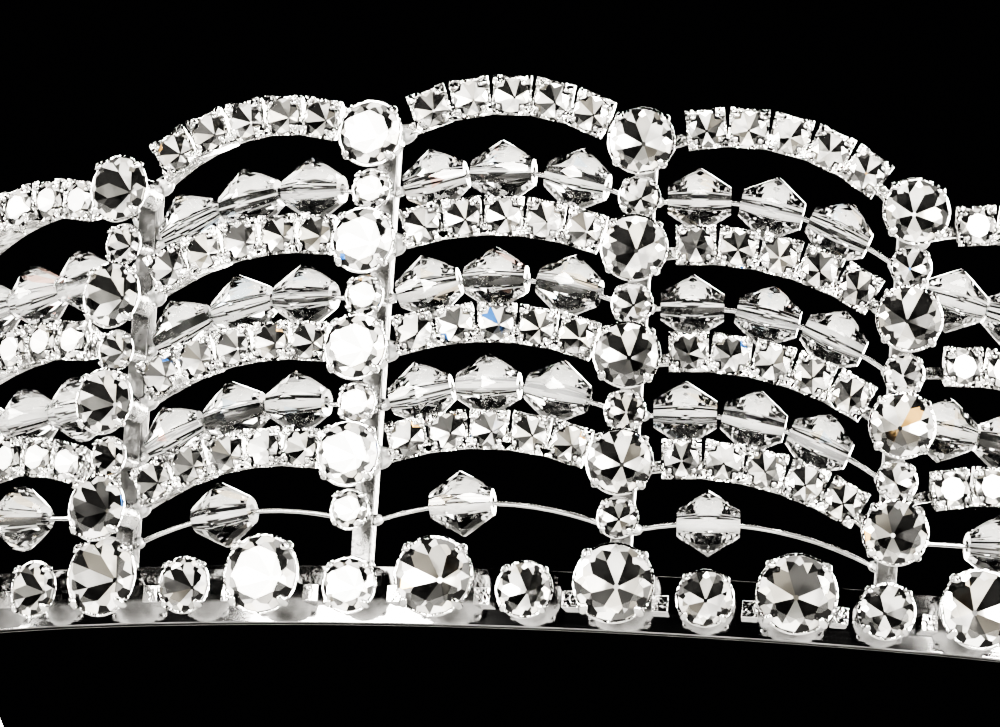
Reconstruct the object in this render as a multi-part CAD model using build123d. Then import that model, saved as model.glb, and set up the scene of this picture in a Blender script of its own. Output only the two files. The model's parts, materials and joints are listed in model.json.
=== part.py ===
from build123d import *
import math
import os

os.makedirs("parts", exist_ok=True)

# ---------------------------------------------------------------------------
# Driving dimensions, in millimetres and degrees.
# The front centre of the band's lower edge is the origin, the front faces -Y
# and +Z points up.
# ---------------------------------------------------------------------------

# Headband: a flat strip bent to an open oval, gentle in front, tighter at the sides
front_radius = 100.0
side_radius = 60.0
front_half_length = 38.0
band_half_length = 135.0
band_height = 5.0
band_thickness = 1.2

# Eye for a hairpin on each end of the band
loop_hole_radius = 1.3
loop_radius = 2.5
loop_neck_length = 1.2
loop_neck_height = 3.0

# Upright posts, and the stones that climb them
bay_width = 22.8
last_post = 3.5
post_width = 1.8
post_thickness = 1.2
stone_pitch = 4.62
stones_per_post = {0.5: 8, 1.5: 7, 2.5: 6, 3.5: 4}
lowest_stone = {0.5: 9.3, 1.5: 9.4, 2.5: 9.3, 3.5: 9.3}

# Round stones: girdle radius, how far the girdle stands out, height above the table top
base_large_radius = 3.3
base_large_reach = 3.2
base_large_height = 3.7
base_small_radius = 2.3
base_small_reach = 2.3
base_small_height = 2.95
base_stones_per_bay = 3
base_stone_count = 26
post_large_radius = 2.7
post_large_reach = 4.7
post_small_radius = 1.6
post_small_reach = 3.4

# Cut of every stone, as shares of its own radius
table_share = 0.56
crown_share = 0.34
pavilion_share = 0.80
culet_share = 0.06
girdle_band = 0.12

# Settings that hold the stones
cup_wall = 0.2
cup_floor = 0.25
cup_back_share = 0.55
prong_height = 0.35
prong_gap_share = 1.25
seat_clearance = 0.04

# Arches of small stones across each bay
arch_stone_radius = 1.5
arch_stone_reach = 3.4
arch_stone_spacing = 3.6
arch_stones = 5
inner_arches = 4
inner_wires = 3
arch_cup_width = 3.4
arch_cup_back = 1.6
arch_rise = 2.6
top_arch_rise = 3.8
rail_height = 0.9
rail_back = -1.1
rail_front = -0.1
solder_gap = 0.02

# Scrolls that bring the last posts down to the band
scroll_length = 15.0
scroll_stones = 4
scroll_rise = 2.6
scroll_start_height = 20.0

# Bicone beads and the wires they are threaded on
bead_radius = 2.85
bead_length = 5.4
bead_end_radius = 1.1
bead_bore_radius = 0.5
bead_facets = 8
wire_radius = 0.2
wire_rise = 2.4
low_wire_rise = 2.2
wire_depth = -0.6
anchor_radius = 0.45
anchor_length = 0.5

# Links that join the settings along the band
link_width = 1.5
link_height = 1.5
link_depth = 1.3
link_centre_height = 2.4

# Where each bead sits along its wire, from the middle of the bay, from the top wire down
bead_places = {
    "centre": [(-7.1, -1.2, 5.4), (-7.1, -1.2, 5.3), (-7.1, -1.2, 4.9), (-2.8,)],
    "left": [(-7.1, -1.2, 4.8), (-7.1, -1.2, 4.7), (-7.1, -1.2, 4.7), (-2.0,)],
    "right": [(-7.1, -0.9, 5.2), (-7.1, -0.6, 5.4), (-7.1, -1.2, 4.7), (-4.2,)],
    "outer": [(-6.9, -1.3, 4.4), (-6.9, -1.3, 4.4), (-1.5,)],
    "end": [(-6.4, -0.8, 4.8)],
}

# Heights where arches and wires meet the inner and the outer post of a side bay
low_wire_height = {0.5: 8.6, 1.5: 6.6}
outer_arch_heights = [(35.2, 30.2), (23.6, 19.4), (12.4, 11.4)]
outer_wire_heights = [(31.4, 27.6), (19.9, 17.5), (9.4, 10.4)]
end_arch_heights = [(29.6, 20.6), (17.6, 11.4)]
end_wire_heights = [(25.9, 18.2)]

# Lowest post each kind of bay starts from; the same bay is mirrored on the other side
bays = {"left": -1.5, "centre": -0.5, "right": 0.5}
outer_bays = {"outer_left": -2.5, "outer_right": 1.5}
end_bays = {"end_left": -3.5, "end_right": 2.5}


# ---------------------------------------------------------------------------
# Places along the band
# ---------------------------------------------------------------------------
def turn_at(along):
    """Angle in radians between straight ahead and the outward direction."""
    distance = abs(along)
    turn = min(distance, front_half_length) / front_radius
    turn += max(0.0, distance - front_half_length) / side_radius
    return math.copysign(turn, along)


def band_point(along, depth=0.0):
    """Point in plan on the band's outer face, or depth further out."""
    turn = abs(turn_at(along))
    front = min(turn, front_half_length / front_radius)
    centre_gap = front_radius - side_radius
    radius = side_radius + depth
    x = centre_gap * math.sin(front) + radius * math.sin(turn)
    y = front_radius - centre_gap * math.cos(front) - radius * math.cos(turn)
    return math.copysign(x, along), y - band_thickness / 2


def outward_plane(x, y, height, turn, slope=0.0):
    """Plane whose z points outward and whose x runs along the band, tilted up by slope."""
    run = math.cos(slope)
    x_dir = (run * math.cos(turn), run * math.sin(turn), math.sin(slope))
    return Plane(origin=(x, y, height), x_dir=x_dir, z_dir=(math.sin(turn), -math.cos(turn), 0))


def band_plane(along, height):
    x, y = band_point(along)
    return outward_plane(x, y, height, turn_at(along))


def post_plane(post, height):
    return band_plane(post * bay_width, height)


def post_heights(post):
    """Heights of a post's stones, from the top down."""
    size = abs(post)
    count = stones_per_post[size]
    return [lowest_stone[size] + stone_pitch * (count - 1 - step) for step in range(count)]


class Span:
    """Arc of a given rise over the straight line between two points of the band's plan."""

    def __init__(self, start, end, start_height, end_height, rise):
        x0, y0 = band_point(start)
        x1, y1 = band_point(end)
        self.width = math.hypot(x1 - x0, y1 - y0)
        self.turn = math.atan2(y1 - y0, x1 - x0)
        self.chord = math.hypot(self.width, end_height - start_height)
        self.tilt = math.atan2(end_height - start_height, self.width)
        self.rise = rise
        self.radius = (self.chord**2 / 4 + rise**2) / (2 * rise) if rise else math.inf
        height = (start_height + end_height) / 2
        self.frame = outward_plane((x0 + x1) / 2, (y0 + y1) / 2, height, self.turn, self.tilt)

    def place(self, distance, depth=0.0):
        """Plane on the arc, a distance from its middle: x along the arc, z outward."""
        angle = distance / self.radius
        run = self.radius * math.sin(angle) if self.rise else distance
        lift = self.rise - self.radius * (1 - math.cos(angle)) if self.rise else 0.0
        origin = self.frame.from_local_coords((run, lift, depth))
        return outward_plane(origin.X, origin.Y, origin.Z, self.turn, self.tilt - angle)

    def path(self):
        """The arc from end to end, in the frame's own plane."""
        half = self.chord / 2
        if not self.rise:
            return Line((-half, 0), (half, 0))
        return ThreePointArc((-half, 0), (0, self.rise), (half, 0))


def bay_span(left_post, left_height, right_height, rise):
    return Span(left_post * bay_width, (left_post + 1) * bay_width, left_height, right_height, rise)


def side_heights(pair, left_post):
    """Heights given as inner and outer post, put in order from left to right."""
    return pair if left_post > 0 else pair[::-1]


# ---------------------------------------------------------------------------
# Stones, settings and beads, each built about z with its mounting face at z = 0
# ---------------------------------------------------------------------------
def octagon(radius, height):
    return Plane.XY.offset(height) * RegularPolygon(radius, 8, rotation=22.5)


def round_stone(radius, reach):
    """Cut glass stone: culet, pavilion, girdle, crown and table."""
    levels = [
        octagon(radius * culet_share, reach - girdle_band / 2 - radius * pavilion_share),
        octagon(radius, reach - girdle_band / 2),
        octagon(radius, reach + girdle_band / 2),
        octagon(radius * table_share, reach + girdle_band / 2 + radius * crown_share),
    ]
    return loft(levels, ruled=True)


def seat_cut(radius, reach):
    """Space that a stone needs inside its setting."""
    rim = radius + seat_clearance
    culet = radius * culet_share + seat_clearance
    girdle = reach - girdle_band / 2
    bottom = girdle - radius * pavilion_share - 2 * seat_clearance
    top = reach + radius
    outline = Polyline((0, bottom), (culet, bottom), (rim, girdle), (rim, top), (0, top), close=True)
    return revolve(Plane.XZ * make_face(outline), Axis.Z)


def prong_cuts(radius, reach):
    """Crossed slots that leave four prongs round the girdle."""
    size = (4 * radius, radius * prong_gap_share, radius)
    slot = Box(*size, align=(Align.CENTER, Align.CENTER, Align.MIN))
    slots = slot + slot.rotate(Axis.Z, 90)
    return Pos(0, 0, reach - girdle_band) * slots


def round_cup(radius, reach):
    """Turned cup with a thin rim and four prongs."""
    rim = radius + seat_clearance + cup_wall
    back = radius * cup_back_share
    shoulder = reach - radius * pavilion_share - cup_floor
    top = reach + prong_height
    outline = Polyline(
        (0, 0), (back, 0), (back, shoulder), (rim, reach - girdle_band), (rim, top), (0, top), close=True
    )
    body = revolve(Plane.XZ * make_face(outline), Axis.Z)
    return body - seat_cut(radius, reach) - prong_cuts(radius, reach)


def square_cup():
    """Square setting of the arches, tapering back to the rail."""
    levels = [
        Plane.XY.offset(rail_front - cup_floor) * Rectangle(arch_cup_back, arch_cup_back),
        Plane.XY.offset(arch_stone_reach - girdle_band) * Rectangle(arch_cup_width, arch_cup_width),
        Plane.XY.offset(arch_stone_reach + prong_height) * Rectangle(arch_cup_width, arch_cup_width),
    ]
    body = loft(levels, ruled=True)
    size = (arch_stone_radius, arch_stone_reach)
    return body - seat_cut(*size) - prong_cuts(*size)


def bicone():
    """Faceted bead along x with a bore through it."""
    half = bead_length / 2
    levels = [
        Plane.YZ.offset(-half) * RegularPolygon(bead_end_radius, bead_facets),
        Plane.YZ * RegularPolygon(bead_radius, bead_facets),
        Plane.YZ.offset(half) * RegularPolygon(bead_end_radius, bead_facets),
    ]
    return loft(levels, ruled=True) - Cylinder(bead_bore_radius, 2 * bead_length).rotate(Axis.Y, 90)


# ---------------------------------------------------------------------------
# Headband, loops and posts
# ---------------------------------------------------------------------------
def half_band():
    """Right-hand half of the band, from the front centre to its end."""
    steps = [0.0, front_half_length / 2, front_half_length]
    steps += [(front_half_length + band_half_length) / 2, band_half_length]
    outer = [band_point(along) for along in steps]
    inner = [band_point(along, -band_thickness) for along in steps]
    edges = [
        ThreePointArc(*outer[0:3]),
        ThreePointArc(*outer[2:5]),
        Line(outer[4], inner[4]),
        ThreePointArc(inner[4], inner[3], inner[2]),
        ThreePointArc(inner[2], inner[1], inner[0]),
        Line(inner[0], outer[0]),
    ]
    return extrude(make_face(edges), band_height)


def make_band():
    half = half_band()
    return half + mirror(half, Plane.YZ)


def pin_loop(side):
    """Flat eye whose short neck butts against the band's end face."""
    reach = loop_neck_length + loop_radius
    neck = Pos(side * reach / 2, 0) * Rectangle(reach, loop_neck_height)
    centre = Pos(side * reach, 0)
    outline = neck + centre * Circle(loop_radius) - centre * Circle(loop_hole_radius)
    plane = band_plane(side * band_half_length, band_height / 2)
    return extrude(plane.offset(-band_thickness) * outline, band_thickness)


def post_block(post, grow=0.0):
    """A post, or the space it fills when grown by a clearance."""
    height = post_heights(post)[0] + post_large_radius * cup_back_share - band_height
    block = Box(post_width + 2 * grow, height + 2 * grow, post_thickness + 2 * grow)
    return post_plane(post, band_height + height / 2) * Pos(0, 0, -post_thickness / 2) * block


# ---------------------------------------------------------------------------
# Arches, scrolls and wires
# ---------------------------------------------------------------------------
def seat_planes(span, count):
    """Planes of the settings along an arch, evenly spaced about its middle."""
    middle = (count - 1) / 2
    return [span.place((step - middle) * arch_stone_spacing) for step in range(count)]


def largest(shape):
    return max(shape.solids(), key=lambda solid: solid.volume)


def arch_frame(span, cup, count, cuts):
    """Rail of one arch with its settings, trimmed to what it is soldered to."""
    across = Plane(origin=span.path() @ 0, z_dir=span.path() % 0, x_dir=(0, 0, 1))
    section = across * Pos((rail_back + rail_front) / 2, 0) * Rectangle(rail_front - rail_back, rail_height)
    frame = span.frame * sweep(section, span.path())
    for seat in seat_planes(span, count):
        frame += seat * cup
    for cut in cuts:
        frame -= cut
    return largest(frame)


def wire_run(span, posts):
    """Wire of one tier with a solder anchor at each end, trimmed to its posts."""
    path = span.path()
    wire = sweep(Plane(origin=path @ 0, z_dir=path % 0) * Circle(wire_radius), path)
    reach = anchor_length + post_width / 2
    for end, inward in ((0, 1), (1, -1)):
        plane = Plane(origin=path @ end, z_dir=(path % end) * inward)
        wire += plane * Cylinder(anchor_radius, reach, align=(Align.CENTER, Align.CENTER, Align.MIN))
    placed = span.frame * Pos(0, 0, wire_depth) * wire
    for post in posts:
        placed -= post_block(post, solder_gap)
    return largest(placed)


# ---------------------------------------------------------------------------
# Layout of every bay: where its arches and wires run
# ---------------------------------------------------------------------------
def inner_bay_spans(left_post):
    """Arches at every large stone and wires at every small one, top to bottom."""
    left = post_heights(left_post)
    right = post_heights(left_post + 1)
    arches = []
    wires = []
    for tier in range(inner_arches):
        rise = arch_rise if tier else top_arch_rise
        arches.append(bay_span(left_post, left[2 * tier], right[2 * tier], rise))
    for tier in range(inner_wires):
        wires.append(bay_span(left_post, left[2 * tier + 1], right[2 * tier + 1], wire_rise))
    low = [low_wire_height[abs(post)] for post in (left_post, left_post + 1)]
    wires.append(bay_span(left_post, *low, low_wire_rise))
    return arches, wires


def side_bay_spans(left_post, arch_heights, wire_heights):
    """Arches and straight wires at their own heights."""
    arches = []
    for step, pair in enumerate(arch_heights):
        rise = arch_rise if step else top_arch_rise
        arches.append(bay_span(left_post, *side_heights(pair, left_post), rise))
    wires = [bay_span(left_post, *side_heights(pair, left_post), 0.0) for pair in wire_heights]
    return arches, wires


def scroll_span(side):
    """Falling arc from the last post to the band's upper edge."""
    post = last_post * bay_width
    foot = band_height - rail_height
    ends = [(post, scroll_start_height), (post + scroll_length, foot)]
    if side < 0:
        ends = [(-along, height) for along, height in reversed(ends)]
    return Span(ends[0][0], ends[1][0], ends[0][1], ends[1][1], scroll_rise)


layout = {}
for name, left_post in bays.items():
    layout[name] = (left_post, *inner_bay_spans(left_post))
for name, left_post in outer_bays.items():
    layout[name] = (left_post, *side_bay_spans(left_post, outer_arch_heights, outer_wire_heights))
for name, left_post in end_bays.items():
    layout[name] = (left_post, *side_bay_spans(left_post, end_arch_heights, end_wire_heights))


# ---------------------------------------------------------------------------
# Making and writing the pieces
# ---------------------------------------------------------------------------
def write(name, solids):
    export_step(Compound(label=name, children=list(solids)), f"parts/{name}.step")


posts = [step - last_post for step in range(round(2 * last_post) + 1)]
write("band", make_band().solids())
write("pin_loops", [largest(pin_loop(side)) for side in (-1, 1)])
write("posts", [largest(post_block(post)) for post in posts])

sizes = {
    "base_large": (base_large_radius, base_large_reach),
    "base_small": (base_small_radius, base_small_reach),
    "post_large": (post_large_radius, post_large_reach),
    "post_small": (post_small_radius, post_small_reach),
}
places = {kind: [] for kind in sizes}
for post in posts:
    for step, height in enumerate(post_heights(post)):
        kind = "post_small" if step % 2 else "post_large"
        places[kind].append(post_plane(post, height))
for step in range(base_stone_count):
    along = (step - (base_stone_count - 1) / 2) * bay_width / base_stones_per_bay
    if step % 2:
        places["base_small"].append(band_plane(along, base_small_height))
    else:
        places["base_large"].append(band_plane(along, base_large_height))
for kind, size in sizes.items():
    family, grade = kind.split("_")
    cup = round_cup(*size)
    stone = round_stone(*size)
    write(f"{family}_cups_{grade}", [largest(place * cup) for place in places[kind]])
    write(f"{family}_stones_{grade}", [largest(place * stone) for place in places[kind]])

links = []
for step in range(1, base_stone_count):
    along = (step - base_stone_count / 2) * bay_width / base_stones_per_bay
    block = Box(link_width, link_height, link_depth, align=(Align.CENTER, Align.CENTER, Align.MIN))
    links.append(largest(band_plane(along, link_centre_height) * block))
write("base_links", links)

cup = square_cup()
stone = round_stone(arch_stone_radius, arch_stone_reach)
band_reach = 4 * band_half_length
band_space = Box(band_reach, band_reach, 2 * (band_height + solder_gap))
arch_stone_solids = []
frames = {}
wires = []
beads = {}
for name, (left_post, arch_spans, wire_spans) in layout.items():
    cuts = [post_block(post, solder_gap) for post in (left_post, left_post + 1)]
    frames[name] = [arch_frame(span, cup, arch_stones, cuts) for span in arch_spans]
    for span in arch_spans:
        arch_stone_solids += [largest(seat * stone) for seat in seat_planes(span, arch_stones)]
    wires += [wire_run(span, (left_post, left_post + 1)) for span in wire_spans]
    family = name.split("_")[0]
    for tier, (span, row) in enumerate(zip(wire_spans, bead_places[family]), start=1):
        threaded = [largest(span.place(distance, wire_depth) * bicone()) for distance in row]
        if span.rise:
            for number, solid in enumerate(threaded, start=1):
                beads[f"bead_{name}_{tier}_{number}"] = [solid]
        else:
            beads[f"beads_{name}_{tier}"] = threaded

scrolls = []
for side in (-1, 1):
    span = scroll_span(side)
    cuts = [post_block(side * last_post, solder_gap), band_space]
    scrolls.append(arch_frame(span, cup, scroll_stones, cuts))
    arch_stone_solids += [largest(seat * stone) for seat in seat_planes(span, scroll_stones)]

for name in ("centre", "left", "right", "outer_left", "outer_right"):
    write(f"arch_frames_{name}", frames[name])
write("arch_frames_end", frames["end_left"] + frames["end_right"])
write("end_scrolls", scrolls)
write("arch_stones", arch_stone_solids)
write("bead_wires", wires)
for name, solids in beads.items():
    write(name, solids)
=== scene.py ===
# %% [markdown]
# # A bridal tiara in stones and crystal beads
# The metalwork comes measured from the CAD frame. This lesson cuts the stones and the beads,
# softens every metal edge, and mixes a finish for each.

# %% Load the frame
import json
import math
import random

import bmesh
import bpy
import numpy as np
from mathutils import Matrix, Vector

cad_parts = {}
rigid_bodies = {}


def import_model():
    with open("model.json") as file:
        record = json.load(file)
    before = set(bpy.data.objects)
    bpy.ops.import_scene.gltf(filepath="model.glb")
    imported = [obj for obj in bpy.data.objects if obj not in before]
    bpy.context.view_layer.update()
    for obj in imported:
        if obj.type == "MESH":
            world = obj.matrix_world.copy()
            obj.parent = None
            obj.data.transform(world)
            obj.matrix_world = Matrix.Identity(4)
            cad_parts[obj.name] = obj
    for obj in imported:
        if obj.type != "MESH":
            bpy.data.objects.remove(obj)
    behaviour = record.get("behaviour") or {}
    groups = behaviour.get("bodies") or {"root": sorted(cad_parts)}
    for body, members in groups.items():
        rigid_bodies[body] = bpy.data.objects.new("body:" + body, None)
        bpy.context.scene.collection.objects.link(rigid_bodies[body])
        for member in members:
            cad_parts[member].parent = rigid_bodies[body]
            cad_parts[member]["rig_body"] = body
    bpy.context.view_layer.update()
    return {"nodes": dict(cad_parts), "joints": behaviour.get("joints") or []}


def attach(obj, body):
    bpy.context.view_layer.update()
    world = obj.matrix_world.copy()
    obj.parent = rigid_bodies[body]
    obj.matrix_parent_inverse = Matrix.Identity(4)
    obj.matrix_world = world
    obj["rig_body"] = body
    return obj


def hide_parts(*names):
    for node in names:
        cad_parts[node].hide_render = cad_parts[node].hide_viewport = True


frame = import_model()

mm = 0.001
chance = random.Random(7)

# %% [markdown]
# ## Writing shader maths
# A node tree is easier to read as arithmetic. Signal wraps one output socket, so that
# `1 - mask * 0.3` adds Math nodes by itself, and Finish.node adds any other node.


# %% A small class for shader maths
class Signal:
    """One output socket that takes part in arithmetic."""

    def __init__(self, finish, socket):
        self.finish, self.socket = finish, socket

    def maths(self, operation, first, second):
        return self.finish.node("ShaderNodeMath", {"operation": operation}, {0: first, 1: second})

    def __add__(self, other):
        return self.maths("ADD", self, other)

    def __sub__(self, other):
        return self.maths("SUBTRACT", self, other)

    def __mul__(self, other):
        return self.maths("MULTIPLY", self, other)

    def __rsub__(self, other):
        return self.maths("SUBTRACT", other, self)

    __radd__ = __add__
    __rmul__ = __mul__


class Finish:
    """A material that is mixed node by node."""

    def __init__(self, name):
        self.material = bpy.data.materials.new(name)
        self.material.use_nodes = True
        self.tree = self.material.node_tree
        self.tree.nodes.clear()

    def node(self, kind, settings, sockets, output=0):
        made = self.tree.nodes.new(kind)
        for name, value in settings.items():
            if name == "stops":
                self.set_ramp(made.color_ramp, value)
            else:
                setattr(made, name, value)
        for name, value in sockets.items():
            if isinstance(value, Signal):
                self.tree.links.new(value.socket, made.inputs[name])
            else:
                made.inputs[name].default_value = value
        return None if output is None else Signal(self, made.outputs[output])

    def set_ramp(self, ramp, stops):
        while len(ramp.elements) < len(stops):
            ramp.elements.new(1.0)
        for element, (place, colour) in zip(ramp.elements, stops):
            element.position, element.color = place, (*colour, 1.0)

    def object_place(self, stretch=(1, 1, 1)):
        place = self.node("ShaderNodeTexCoord", {}, {}, "Object")
        return self.node("ShaderNodeMapping", {}, {"Vector": place, "Scale": stretch})

    def noise(self, place, scale, detail=3.0):
        sockets = {"Vector": place, "Scale": scale, "Detail": detail}
        return self.node("ShaderNodeTexNoise", {}, sockets, "Fac")

    def ramp(self, factor, stops, interpolation="LINEAR"):
        made = self.node("ShaderNodeValToRGB", {"stops": stops}, {"Fac": factor})
        made.socket.node.color_ramp.interpolation = interpolation
        return made

    def bump(self, height, distance, strength=1.0):
        sockets = {"Height": height, "Distance": distance, "Strength": strength}
        return self.node("ShaderNodeBump", {}, sockets)

    def finish_with(self, sockets):
        shader = self.node("ShaderNodeBsdfPrincipled", {}, sockets)
        self.node("ShaderNodeOutputMaterial", {}, {"Surface": shader}, None)
        return self.material


# %% [markdown]
# ## Finishes for the metal
# Rhodium plate is almost a mirror, but cast settings keep a faint orange-peel skin, a rolled band
# keeps hair lines from its polishing, and solder freezes frosted. Each finish varies its roughness
# and its normal in the piece's own space, at the size that the real marks have.


# %% Plate on the cast settings
def mix_cast_plate():
    finish = Finish("cast_plate")
    place = finish.object_place()
    cloud = finish.noise(place, 420.0, 4.0)
    skin = finish.noise(place, 2600.0, 2.0)
    colour = finish.ramp(cloud, [(0.3, (0.40, 0.40, 0.40)), (0.62, (0.80, 0.80, 0.80))])
    normal = finish.bump(skin, 0.00012, 0.7)
    sockets = {"Base Color": colour, "Metallic": 1.0, "Roughness": cloud * 0.10 + 0.02}
    return finish.finish_with({**sockets, "Normal": normal})


cast_plate = mix_cast_plate()
print("finish", cast_plate.name)


# %% Bright-cut plate on the arches
def mix_gallery_plate():
    finish = Finish("gallery_plate")
    place = finish.object_place()
    cloud = finish.noise(place, 1100.0, 3.0)
    cuts = finish.noise(place, 1700.0, 1.0)
    colour = finish.ramp(cloud, [(0.38, (0.10, 0.10, 0.10)), (0.60, (0.86, 0.86, 0.85))])
    normal = finish.bump(cuts, 0.0006, 1.0)
    sockets = {"Base Color": colour, "Metallic": 1.0, "Roughness": cloud * 0.12 + 0.03}
    return finish.finish_with({**sockets, "Normal": normal})


gallery_plate = mix_gallery_plate()
print("finish", gallery_plate.name)


# %% Polish on the headband, with hair lines along it and a painted reflection in its colour
def mix_band_with_painted_reflection():
    finish = Finish("band_polish_painted_reflection")
    lines = finish.noise(finish.object_place((25, 25, 2400)), 3.0, 4.0)
    smear = finish.noise(finish.object_place(), 90.0, 5.0)
    height = finish.node("ShaderNodeSeparateXYZ", {}, {"Vector": finish.object_place()}, "Z")
    depth = finish.node("ShaderNodeSeparateXYZ", {}, {"Vector": finish.object_place()}, "Y")
    # painted reflection: the colour is bright along the band's lower edge and dark above it,
    # standing in for the room the polished band would mirror, and the dark strip fades out further
    # behind the front
    behind = {"Value": depth, "From Min": 0.012, "From Max": 0.024}
    reflection_fade_behind = finish.node("ShaderNodeMapRange", {}, behind, "Result")
    painted_reflection = height * 200.0 + smear * 0.24 - reflection_fade_behind
    stops = [(0.0, (0.78, 0.78, 0.79)), (0.1, (0.60, 0.60, 0.61)), (0.49, (0.50, 0.50, 0.51)),
             (0.56, (0.07, 0.07, 0.07))]
    colour = finish.ramp(painted_reflection, stops)
    normal = finish.bump(lines, 0.00001, 0.35)
    roughness = lines * 0.06 + smear * 0.06 + 0.02
    sockets = {"Base Color": colour, "Metallic": 1.0, "Roughness": roughness}
    return finish.finish_with({**sockets, "Normal": normal})


band_polish_painted_reflection = mix_band_with_painted_reflection()
print("finish", band_polish_painted_reflection.name)


# %% Dull plate on the posts, which nobody polishes
def mix_post_plate():
    finish = Finish("post_plate")
    place = finish.object_place()
    stain = finish.noise(place, 260.0, 5.0)
    grain = finish.noise(place, 1900.0, 4.0)
    colour = finish.ramp(stain, [(0.3, (0.04, 0.04, 0.04)), (0.7, (0.22, 0.22, 0.22))])
    normal = finish.bump(grain, 0.0001, 0.8)
    sockets = {"Base Color": colour, "Metallic": 1.0, "Roughness": stain * 0.2 + 0.18}
    return finish.finish_with({**sockets, "Normal": normal})


post_plate = mix_post_plate()
print("finish", post_plate.name)


# %% Frosted solder
def mix_solder():
    finish = Finish("solder")
    place = finish.object_place()
    grain = finish.noise(place, 3200.0, 5.0)
    pool = finish.noise(place, 700.0, 2.0)
    colour = finish.ramp(pool, [(0.3, (0.72, 0.73, 0.75)), (0.7, (0.94, 0.94, 0.94))])
    normal = finish.bump(grain, 0.00006, 0.6)
    sockets = {"Base Color": colour, "Metallic": 1.0, "Roughness": grain * 0.35 + 0.22}
    return finish.finish_with({**sockets, "Normal": normal})


solder = mix_solder()
print("finish", solder.name)


# %% Drawn wire
def mix_drawn_wire():
    finish = Finish("drawn_wire")
    drawn = finish.noise(finish.object_place((60, 900, 900)), 4.0, 3.0)
    colour = finish.ramp(drawn, [(0.3, (0.86, 0.87, 0.88)), (0.7, (0.97, 0.97, 0.97))])
    normal = finish.bump(drawn, 0.000008, 0.4)
    sockets = {"Base Color": colour, "Metallic": 1.0, "Roughness": drawn * 0.14 + 0.06}
    return finish.finish_with({**sockets, "Normal": normal})


drawn_wire = mix_drawn_wire()
print("finish", drawn_wire.name)

# %% [markdown]
# ## Finishes for stones and beads
# A set stone has silver foil behind it, which is seen through its polished table. Every facet
# catches a different part of the room, so each one gets a number of its own, kept on the mesh as
# the attribute "facet". A ramp turns that number into a painted reflection in the colour: bright
# foil, dark foil or a painted spark of fire.

# %% Names shared by the cut pieces
facet_attribute = "facet"
clear, white = (0.96, 0.97, 0.98), (1.0, 1.0, 1.0)
# amber, red and blue are painted fire: the spectral glints of cut glass, given as colour on a few
# facets
amber, red, blue = (0.98, 0.62, 0.22), (0.85, 0.20, 0.15), (0.06, 0.22, 0.60)


# %% Clear glass of a bead, with painted fire on a few facets
def mix_bead_crystal():
    finish = Finish("bead_crystal")
    facet = finish.node("ShaderNodeAttribute", {"attribute_name": facet_attribute}, {}, "Fac")
    # painted fire: a few facets are tinted blue, amber or red in their colour, standing in for the
    # glints that cut glass splits into colours
    painted_fire_tints = [(0.0, white), (0.40, clear), (0.965, (0.62, 0.80, 1.0)), (0.98, (1.0, 0.83, 0.6)),
             (0.993, (1.0, 0.5, 0.4))]
    colour = finish.ramp(facet, painted_fire_tints, "CONSTANT")
    lustre = finish.noise(finish.object_place(), 900.0, 2.0)
    sockets = {"Base Color": colour, "Roughness": lustre * 0.01, "IOR": 1.55}
    return finish.finish_with({**sockets, "Transmission Weight": 1.0})


bead_crystal = mix_bead_crystal()
print("finish", bead_crystal.name)


# %% Frosted wall of a bead's drill hole
def mix_drill_frost():
    finish = Finish("drill_frost")
    facet = finish.node("ShaderNodeAttribute", {"attribute_name": facet_attribute}, {}, "Fac")
    grain = finish.noise(finish.object_place(), 4200.0, 3.0)
    stops = [(0.0, (0.01, 0.01, 0.01)), (0.42, (0.45, 0.45, 0.46)), (0.52, (1.0, 1.0, 1.0))]
    colour = finish.ramp(facet, stops, "CONSTANT")
    normal = finish.bump(grain, 0.00003, 0.6)
    sockets = {"Base Color": colour, "Roughness": grain * 0.2 + 0.1, "Normal": normal}
    return finish.finish_with(sockets)


drill_frost = mix_drill_frost()
print("finish", drill_frost.name)


# %% Polished table of a stone, which lets the foil show
def mix_stone_table():
    finish = Finish("stone_table")
    lustre = finish.noise(finish.object_place(), 900.0, 2.0)
    colour = finish.ramp(lustre, [(0.3, clear), (0.7, white)])
    sockets = {"Base Color": colour, "Metallic": 1.0, "Roughness": lustre * 0.03, "Alpha": 0.09}
    return finish.finish_with(sockets)


stone_table = mix_stone_table()
print("finish", stone_table.name)


# %% Facets backed with foil, with painted reflections in their colour
def mix_foil_with_painted_reflections():
    finish = Finish("stone_foil_painted_reflections")
    facet = finish.node("ShaderNodeAttribute", {"attribute_name": facet_attribute}, {}, "Fac")
    # painted reflections: each foil facet's bright, grey or dark colour stands for the part of the
    # room it would mirror, and the blue, amber and red stops are painted fire
    stops = [(0.0, (1.0, 1.0, 1.0)), (0.24, (0.62, 0.61, 0.59)), (0.32, (1.0, 0.97, 0.90)),
             (0.44, (0.34, 0.34, 0.33)), (0.50, (0.10, 0.10, 0.10)), (0.58, (0.012, 0.012, 0.012)),
             (0.80, (0.20, 0.19, 0.17)), (0.85, (0.006, 0.006, 0.006)), (0.991, blue),
             (0.994, amber), (0.998, red)]
    colour = finish.ramp(facet, stops, "CONSTANT")
    crinkle = finish.noise(finish.object_place(), 1500.0, 2.0)
    normal = finish.bump(crinkle, 0.000005, 0.3)
    sockets = {"Base Color": colour, "Metallic": 0.62, "Roughness": crinkle * 0.16 + 0.10}
    return finish.finish_with({**sockets, "Normal": normal})


stone_foil_painted_reflections = mix_foil_with_painted_reflections()
print("finish", stone_foil_painted_reflections.name)

# %% [markdown]
# ## Finding the solids of a CAD node
# One node holds many like pieces: all the small stones, say. Welding a copy of its mesh and
# walking from vertex to vertex gives each piece apart, and its place is read from its points.


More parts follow.
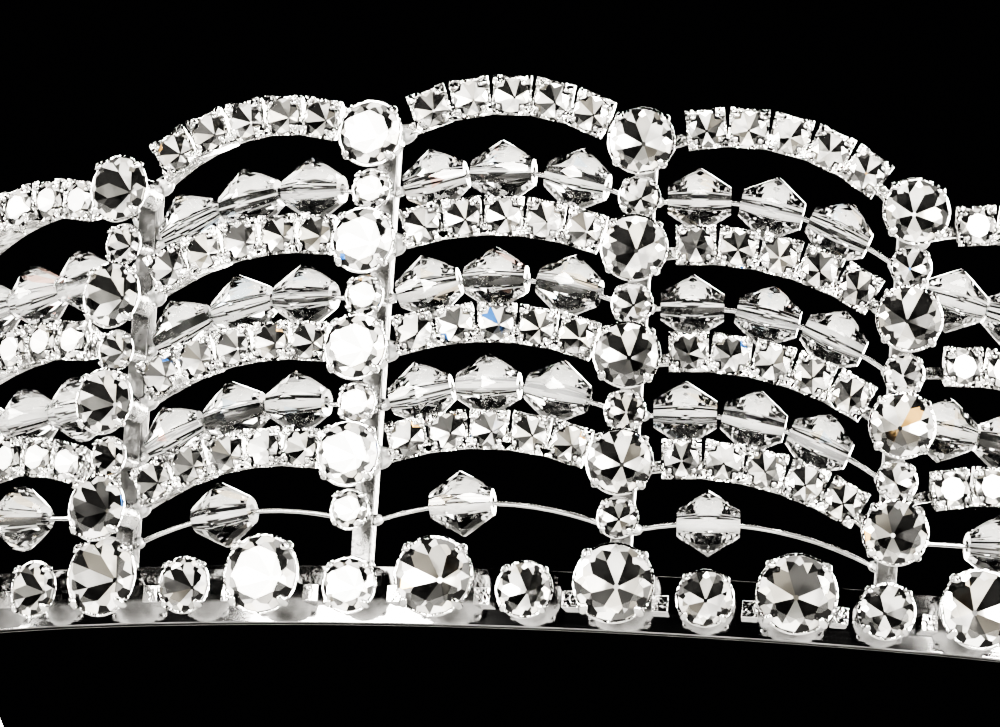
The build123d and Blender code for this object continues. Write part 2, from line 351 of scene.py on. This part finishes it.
# %% Split a node into its solids
def welded(node):
    bm = bmesh.new()
    bm.from_mesh(frame["nodes"][node].data)
    bmesh.ops.remove_doubles(bm, verts=bm.verts, dist=0.001 * mm)
    return bm


def solids_of(node):
    """One array of points for each separate solid of a CAD node."""
    bm = welded(node)
    found, seen = [], set()
    for start in bm.verts:
        if start in seen:
            continue
        seen.add(start)
        island = [start]
        for vertex in island:
            near = [edge.other_vert(vertex) for edge in vertex.link_edges]
            fresh = [other for other in near if other not in seen]
            seen.update(fresh)
            island += fresh
        found.append(np.array([vertex.co for vertex in island]))
    bm.free()
    return found


print("small stones", len(solids_of("arch_stones")))

# %% [markdown]
# ## Where each stone sits
# A stone is round, so its points vary alike across it and differently along its axis. The
# direction of that odd variance is the axis, and the widest points ring its girdle.


# %% Read a stone's seat
def seat_of(points):
    """Centre of the girdle, outward axis, girdle radius, and the direction of one corner."""
    middle = points.mean(0)
    spread, directions = np.linalg.eigh(np.cov((points - middle).T))
    odd = 0 if spread[1] - spread[0] > spread[2] - spread[1] else 2
    axis = directions[:, odd]
    along = (points - middle) @ axis
    across = np.linalg.norm(points - middle - np.outer(along, axis), axis=1)
    girdle = across > 0.9 * across.max()
    table = across[along > along.max() - 0.01 * mm].mean()
    culet = across[along < along.min() + 0.01 * mm].mean()
    if table < culet:
        axis = -axis
    centre = points[girdle].mean(0)
    corner = points[girdle][0] - centre
    corner -= axis * (corner @ axis)
    return centre, axis, across.max(), corner / np.linalg.norm(corner)


def placed(centre, across, axis):
    """Matrix that puts a piece made about Z on a seat, with its X turned to across."""
    up = np.cross(axis, across)
    columns = np.array([across, up, axis]).T
    return Matrix.Translation(Vector(centre)) @ Matrix(columns.tolist()).to_4x4()


def upright_seats(node):
    """Seats on posts and band, whose Y points straight up."""
    seats = []
    for points in solids_of(node):
        centre, axis, radius, corner = seat_of(points)
        across = np.cross([0.0, 0.0, 1.0], axis)
        seats.append((placed(centre, across / np.linalg.norm(across), axis), radius))
    return seats


corner_turn = math.radians(45.0)


def row_seats(node):
    """Seats along the arches, whose X points at the nearest stone beside them."""
    read = [seat_of(points) for points in solids_of(node)]
    centres = np.array([seat[0] for seat in read])
    seats = []
    for centre, axis, radius, corner in read:
        gaps = np.linalg.norm(centres - centre, axis=1)
        beside = centres[np.argsort(gaps)[1]] - centre
        turned = []
        for step in range(8):
            turn = Matrix.Rotation((step + 0.5) * corner_turn, 3, Vector(axis))
            turned.append(np.array(turn @ Vector(corner)))
        across = max(turned, key=lambda direction: direction @ beside)
        seats.append((placed(centre, across, axis), radius))
    return seats


stone_kinds = {
    "post_stones_large": upright_seats("post_stones_large"),
    "post_stones_small": upright_seats("post_stones_small"),
    "base_stones_large": upright_seats("base_stones_large"),
    "base_stones_small": upright_seats("base_stones_small"),
    "arch_stones": row_seats("arch_stones"),
}
for kind, seats in stone_kinds.items():
    print(kind, len(seats), "radius", round(seats[0][1] / mm, 2), "mm")

# %% [markdown]
# ## Cutting a stone
# A lapidary grinds one flat at a time, and so does this: a short cylinder is cut by a plane
# for each facet, and the opening is closed with a new face. The facets then meet as they do
# on a real stone, without any list of vertices.


# %% Grind one facet
def grind(bm, across, tilt, through):
    """Cut a flat that faces across the angle `across` and `tilt` up from level, at a point."""
    side = Vector((math.cos(across), math.sin(across), 0.0))
    normal = side * math.cos(tilt) + Vector((0.0, 0.0, math.sin(tilt)))
    point = side * through[0] + Vector((0.0, 0.0, through[1]))
    everything = bm.verts[:] + bm.edges[:] + bm.faces[:]
    made = bmesh.ops.bisect_plane(
        bm, geom=everything, dist=1e-5, plane_co=point, plane_no=normal, clear_outer=True
    )
    rim = [part for part in made["geom_cut"] if isinstance(part, bmesh.types.BMEdge)]
    if rim:
        bmesh.ops.contextual_create(bm, geom=rim)


def rough(sides, radius, half_depth):
    """The rough piece: a cylinder about the origin with a corner on +X."""
    bm = bmesh.new()
    bmesh.ops.create_cone(
        bm, cap_ends=True, segments=sides, radius1=radius, radius2=radius, depth=2 * half_depth
    )
    bm.verts.ensure_lookup_table()
    first = bm.verts[0].co
    turn = Matrix.Rotation(-math.atan2(first.y, first.x), 3, "Z")
    bmesh.ops.rotate(bm, matrix=turn, verts=bm.verts)
    return bm


eighth = math.radians(45.0)
table_share, crown_share, pavilion_share, girdle_share = 0.70, 0.22, 0.72, 0.03
star_tilt, upper_steeper, lower_steeper = math.radians(66.0), math.radians(4.0), math.radians(4.0)


def cut_stone(full):
    """A round stone of radius 1, its girdle at the origin and its table towards +Z."""
    bm = rough(16, 1.0, 1.0)
    crown_tilt = math.atan2(1.0 - table_share, crown_share - girdle_share)
    pavilion_tilt = -math.atan2(1.0, pavilion_share - girdle_share)
    flat = math.cos(eighth / 4)
    rows = [(crown_tilt, (1.0, girdle_share), 0.0), (pavilion_tilt, (1.0, -girdle_share), 0.0)]
    rows.append((star_tilt, (table_share * math.cos(eighth / 2), crown_share), 0.5))
    if full:
        for side in (-0.25, 0.25):
            rows.append((crown_tilt - upper_steeper, (flat, girdle_share), side))
            rows.append((pavilion_tilt + lower_steeper, (flat, -girdle_share), side))
    for tilt, through, side in rows:
        for step in range(8):
            grind(bm, (step + side) * eighth, tilt, through)
    grind(bm, 0.0, math.pi / 2, (0.0, crown_share))
    grind(bm, 0.0, -math.pi / 2, (0.0, -0.93 * pavilion_share))
    bmesh.ops.recalc_face_normals(bm, faces=bm.faces)
    return bm


full_cut, short_cut = cut_stone(True), cut_stone(False)
print("facets", len(full_cut.faces), "and", len(short_cut.faces))

# %% [markdown]
# ## Setting the stones
# All stones of one size are one piece, as they are one order from the stone house. The cut
# stone is copied onto each seat. Light and dark facets go round by turns, painted reflections in
# the foil's colour that make the star seen through the table, and every facet draws a number, so
# no two stones are alike.


# %% Copy a shape onto many places
def shape_of(bm, name):
    mesh = bpy.data.meshes.new(name)
    bm.to_mesh(mesh)
    bm.free()
    return mesh


def repeated(mesh, places, spread=1.0):
    """One bmesh with the mesh copied to each matrix, every face with its own facet number."""
    bm = bmesh.new()
    facet = bm.faces.layers.float.new(facet_attribute)
    for place in places:
        count = len(bm.verts), len(bm.faces)
        bm.from_mesh(mesh)
        bmesh.ops.transform(bm, matrix=place, verts=bm.verts[count[0]:])
        for face in bm.faces[count[1]:]:
            face[facet] = (face[facet] + spread * chance.random()) % 1.0
    return bm


def piece(name, bm, finishes, body):
    """A finished object that rides on a CAD body."""
    made = bpy.data.objects.new(name, shape_of(bm, name))
    bpy.context.scene.collection.objects.link(made)
    for finish in finishes:
        made.data.materials.append(finish)
    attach(made, body)
    return made


clear_faces_up = 0.85
tone_step = eighth / 4
# painted reflection: foil facets in these turns round the stone are painted dark, the others bright
painted_dark_tone, painted_dark_turns = 0.5, (1, 4, 5)


def foil_backed(bm):
    """Table and star facets are clear, the others foiled, with painted light and dark reflections
    by turns.
    """
    facet = bm.faces.layers.float.new(facet_attribute)
    for face in bm.faces:
        middle = face.calc_center_median()
        turn = round(math.atan2(middle.y, middle.x) / tone_step) % 8
        face.material_index = 0 if face.normal.z > clear_faces_up else 1
        face[facet] = painted_dark_tone if turn in painted_dark_turns else 0.0
    return bm


tone_spread = 0.6
large_stone = shape_of(foil_backed(full_cut), "large_stone")
small_stone = shape_of(foil_backed(short_cut), "small_stone")
for kind, seats in stone_kinds.items():
    cut = small_stone if kind == "arch_stones" else large_stone
    places = [seat @ Matrix.Scale(radius, 4) for seat, radius in seats]
    stones = repeated(cut, places, tone_spread)
    made = piece("set_" + kind, stones, [stone_table, stone_foil_painted_reflections], "tiara")
    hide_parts(kind)
    print(made.name, len(made.data.polygons), "facets")

# %% [markdown]
# ## Cutting a bead
# A bicone bead has two rows of narrow facets on each half. One row is wide at the waist and runs
# to a point at the end, the other is wide at the end and runs to a point at the waist. Its hole
# is drilled last: the end flats are inset, opened, and bridged with each other.

# %% The bead
bead_radius, bead_half, bead_end, bead_sides = 2.85 * mm, 2.7 * mm, 1.35 * mm, 16
end_flat = 1.15 * mm
drill_margin = 0.65 * mm


def cut_bead():
    """A drilled bicone about the origin, threaded along Z."""
    bm = rough(bead_sides, bead_radius, bead_half)
    step_angle = 2 * math.pi / bead_sides
    narrow = math.cos(step_angle / 2)
    wide_tilt = math.atan2((bead_radius - bead_end) * narrow, bead_half)
    long_tilt = math.atan2(bead_radius - end_flat, bead_half)
    for side in (1, -1):
        for step in range(bead_sides):
            grind(bm, (step + 0.5) * step_angle, side * wide_tilt, (bead_radius * narrow, 0.0))
            grind(bm, step * step_angle, side * long_tilt, (bead_radius, 0.0))
    bmesh.ops.recalc_face_normals(bm, faces=bm.faces)
    ends = [face for face in bm.faces if abs(face.normal.z) > 0.999]
    bmesh.ops.inset_individual(bm, faces=ends, thickness=drill_margin)
    rims = [edge for face in ends for edge in face.edges]
    bmesh.ops.delete(bm, geom=ends, context="FACES_ONLY")
    for face in bmesh.ops.bridge_loops(bm, edges=rims)["faces"]:
        face.material_index = 1
    bmesh.ops.recalc_face_normals(bm, faces=bm.faces)
    return bm


bead_shape = shape_of(cut_bead(), "bead")
print("bead facets", len(bead_shape.polygons))

# %% Thread the beads on their own bodies
for joint in frame["joints"]:
    body, spin = joint["child"], Vector(joint["axis"]).normalized()
    node = next(name for name, o in frame["nodes"].items() if o["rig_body"] == body)
    places = []
    for points in solids_of(node):
        corner = Vector(points[0] - points.mean(0))
        across = (corner - spin * corner.dot(spin)).normalized()
        rolled = Matrix.Rotation(chance.uniform(0.0, math.pi), 4, "Z")
        places.append(placed(points.mean(0), np.array(across), np.array(spin)) @ rolled)
    beads = repeated(bead_shape, places)
    made = piece("crystal_" + body, beads, [bead_crystal, drill_frost], body)
    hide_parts(node)

# %% [markdown]
# ## Softening the metal
# No edge of cast and tumbled metal is sharp. Each metal node is copied, welded and given a small
# round on its sharp edges, which is what catches the light along a rim.

# %% Round the sharp edges of a CAD node
sharp_angle = math.radians(32.0)
flat_angle = math.radians(0.5)


def softened(node, finish, width):
    bm = welded(node)
    bmesh.ops.dissolve_limit(bm, angle_limit=flat_angle, verts=bm.verts, edges=bm.edges)
    sharp = [edge for edge in bm.edges if edge.is_manifold and edge.calc_face_angle() > sharp_angle]
    bmesh.ops.bevel(
        bm, geom=sharp, offset=width, segments=2, profile=0.5,
        affect="EDGES", material=-1, clamp_overlap=True,
    )
    for face in bm.faces:
        face.smooth = True
    made = piece("soft_" + node, bm, [finish], "tiara")
    made.modifiers.new("flats_stay_flat", "WEIGHTED_NORMAL")
    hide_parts(node)
    return made


metal_nodes = {
    "band": (band_polish_painted_reflection, 0.12 * mm, "band_metal"),
    "pin_loops": (band_polish_painted_reflection, 0.12 * mm, "band_metal"),
    "posts": (post_plate, 0.12 * mm, "plated_metal"),
    "base_links": (cast_plate, 0.10 * mm, "plated_metal"),
    "end_scrolls": (cast_plate, 0.06 * mm, "plated_metal"),
}
for name in frame["nodes"]:
    if name.startswith("arch_frames"):
        metal_nodes[name] = (gallery_plate, 0.06 * mm, "plated_metal")
    elif "_cups_" in name:
        metal_nodes[name] = (cast_plate, 0.05 * mm, "plated_metal")
for name, (finish, width, slot) in metal_nodes.items():
    made = softened(name, finish, width)
    print(made.name, len(made.data.polygons), "faces")

# %% The wires keep their CAD shape and take the drawn finish
wires = frame["nodes"]["bead_wires"]
wires.data.materials.clear()
wires.data.materials.append(drawn_wire)
print("wires", len(wires.data.polygons), "faces")

# %% [markdown]
# ## Claws
# Four claws are bent over each stone. A small ball, stretched and leaned inwards, sits on each
# prong; there are hundreds of them, so the ball has only a few dozen faces.

# %% Bend a claw over every prong
claw_lean = math.radians(-35.0)
claw_height, claw_out = 0.24 * mm, 0.06 * mm


def claw_ball():
    bm = bmesh.new()
    bmesh.ops.create_uvsphere(bm, u_segments=8, v_segments=6, radius=1.0)
    for face in bm.faces:
        face.smooth = True
    return bm


ball = shape_of(claw_ball(), "claw_ball")


def claws_on(seat, radius):
    width = 0.11 * radius + 0.10 * mm
    for quarter in range(4):
        turn = Matrix.Rotation(math.radians(45.0 + 90.0 * quarter), 4, "Z")
        lean = Matrix.Rotation(claw_lean, 4, "Y")
        out = Matrix.Translation((radius + claw_out, 0.0, claw_height))
        yield seat @ turn @ out @ lean @ Matrix.Diagonal((width * 0.8, width, width * 1.5, 1.0))


for kind, seats in stone_kinds.items():
    places = [claw for seat, radius in seats for claw in claws_on(seat, radius)]
    made = piece("claws_" + kind, repeated(ball, places), [cast_plate], "tiara")
    print(made.name, len(places), "claws")

# %% [markdown]
# ## Solder
# Arches are soldered to the backs of the posts. A small frosted drop lies where each one ends,
# a little one closes each wire, and one holds each post on the band.


# %% Lay the drops
def drop_shape():
    bm = bmesh.new()
    bmesh.ops.create_icosphere(bm, subdivisions=2, radius=1.0)
    for face in bm.faces:
        face.smooth = True
    return bm


drop = shape_of(drop_shape(), "solder_drop")
post_reach = 1.9 * mm


def drop_at(centre, outward, size):
    """A flattened drop, wide in the sheet of the tiara and thin across it."""
    across = np.cross([0.0, 0.0, 1.0], outward)
    roll = Matrix.Rotation(chance.uniform(-0.6, 0.6), 4, "Z")
    wide, high = size * chance.uniform(0.85, 1.15), size * chance.uniform(0.75, 1.0)
    shape = Matrix.Diagonal((wide, high, size * 0.62, 1.0))
    return placed(centre, across / np.linalg.norm(across), outward) @ roll @ shape


def post_lines():
    """Foot and outward direction of each post, in plan."""
    lines = []
    for points in solids_of("posts"):
        flat = points[:, :2] - points[:, :2].mean(0)
        spread, directions = np.linalg.eigh(np.cov(flat.T))
        outward = directions[:, 0] * -np.sign(directions[1, 0])
        lines.append((points.mean(0), np.array([*outward, 0.0]), points[:, 2].min()))
    return lines


posts = post_lines()
drops = []
for name in frame["nodes"]:
    size = 1.05 * mm if name.startswith("arch_frames") else 0.55 * mm
    if not name.startswith(("arch_frames", "bead_wires")):
        continue
    for points in solids_of(name):
        for middle, outward, foot in posts:
            near = points[np.linalg.norm(points[:, :2] - middle[:2], axis=1) < post_reach]
            if len(near):
                drops.append(drop_at(near.mean(0), outward, size))
for middle, outward, foot in posts:
    drops.append(drop_at(np.array([middle[0], middle[1], foot]), outward, 1.15 * mm))
made = piece("solder_drops", repeated(drop, drops), [solder], "tiara")
print("solder drops", len(drops))

# %% [markdown]
# ## The studio
# The tiara stands on a pale floor that can only be seen from above, because the camera looks up
# at it from below the floor's level. Large soft lamps stand round it, all of one warm white.


# %% Floor
def mix_floor():
    finish = Finish("pale_floor")
    grain = finish.noise(finish.object_place(), 30.0, 3.0)
    colour = finish.ramp(grain, [(0.3, (0.70, 0.70, 0.69)), (0.7, (0.74, 0.74, 0.73))])
    top = finish.node("ShaderNodeBsdfDiffuse", {}, {"Color": colour})
    clear_below = finish.node("ShaderNodeBsdfTransparent", {}, {})
    below = finish.node("ShaderNodeNewGeometry", {}, {}, "Backfacing")
    surface = finish.node("ShaderNodeMixShader", {}, {0: below, 1: top, 2: clear_below})
    finish.node("ShaderNodeOutputMaterial", {}, {"Surface": surface}, None)
    return finish.material


floor_radius, floor_drop = 2.5, 0.02 * mm
floor_bm = bmesh.new()
bmesh.ops.create_circle(floor_bm, cap_ends=True, segments=64, radius=floor_radius)
bmesh.ops.translate(floor_bm, vec=(0.0, 0.0, -floor_drop), verts=floor_bm.verts)
floor = bpy.data.objects.new("floor", shape_of(floor_bm, "floor"))
floor.data.materials.append(mix_floor())
bpy.context.scene.collection.objects.link(floor)
print("floor faces up:", floor.data.polygons[0].normal.z > 0)

# %% World, nearly black like a jeweller's velvet
bpy.context.scene.view_settings.look = "AgX - High Contrast"
world = bpy.data.worlds.new("studio")
world.use_nodes = True
background = world.node_tree.nodes["Background"]
background.inputs["Color"].default_value = (0.004, 0.004, 0.0045, 1.0)
bpy.context.scene.world = world

# %% Lamps
tiara_middle = Vector((0.0, 10.0, 22.0)) * mm
lamp_colour = (1.0, 0.965, 0.90)


def toward(azimuth, elevation):
    a, e = math.radians(azimuth), math.radians(elevation)
    return Vector((math.sin(a) * math.cos(e), -math.cos(a) * math.cos(e), math.sin(e)))


def lamp(name, azimuth, elevation, distance, size, power):
    light = bpy.data.lights.new(name, "AREA")
    light.shape, light.size, light.size_y = "RECTANGLE", size[0], size[1]
    light.energy, light.color = power, lamp_colour
    placed_lamp = bpy.data.objects.new(name, light)
    back = toward(azimuth, elevation)
    placed_lamp.location = tiara_middle + back * distance
    placed_lamp.rotation_euler = back.to_track_quat("Z", "Y").to_euler()
    placed_lamp.visible_camera = False
    bpy.context.scene.collection.objects.link(placed_lamp)


lamp("key", -29.0, 12.0, 0.9, (0.30, 0.34), 14.0)
lamp("near_key", 42.0, 16.0, 0.9, (0.26, 0.26), 15.0)
lamp("top", 10.0, 68.0, 0.9, (0.4, 0.25), 7.0)
lamp("right", 62.0, 10.0, 0.9, (0.12, 0.8), 12.0)
lamp("left", -75.0, 15.0, 0.9, (0.12, 0.8), 12.0)
lamp("low", 5.0, -38.0, 0.9, (0.4, 0.06), 1.6)
lamp("back", 170.0, 12.0, 0.9, (0.8, 0.25), 14.0)
lamp("back_left", -135.0, 16.0, 0.9, (0.6, 0.35), 5.0)
lamp("back_right", 135.0, 16.0, 0.9, (0.6, 0.35), 5.0)

# %% Camera
view_width, view_distance, view_roll = 85.3 * mm, 2.5, math.radians(3.93)
view_target = Vector((-0.25, 0.0, 22.79)) * mm
view_back = toward(13.9, -8.99)
camera_data = bpy.data.cameras.new("camera")
camera_data.sensor_width = 36.0
camera_data.lens = camera_data.sensor_width * view_distance / view_width
camera = bpy.data.objects.new("camera", camera_data)
across = Vector((0.0, 0.0, 1.0)).cross(view_back).normalized()
up = view_back.cross(across)
right_hand = across * math.cos(view_roll) + up * math.sin(view_roll)
columns = Matrix((right_hand, view_back.cross(right_hand), view_back)).transposed()
camera.matrix_world = Matrix.Translation(view_target + view_back * view_distance) @ columns.to_4x4()
bpy.context.scene.collection.objects.link(camera)
bpy.context.scene.camera = camera
print("lens", round(camera_data.lens), "mm")
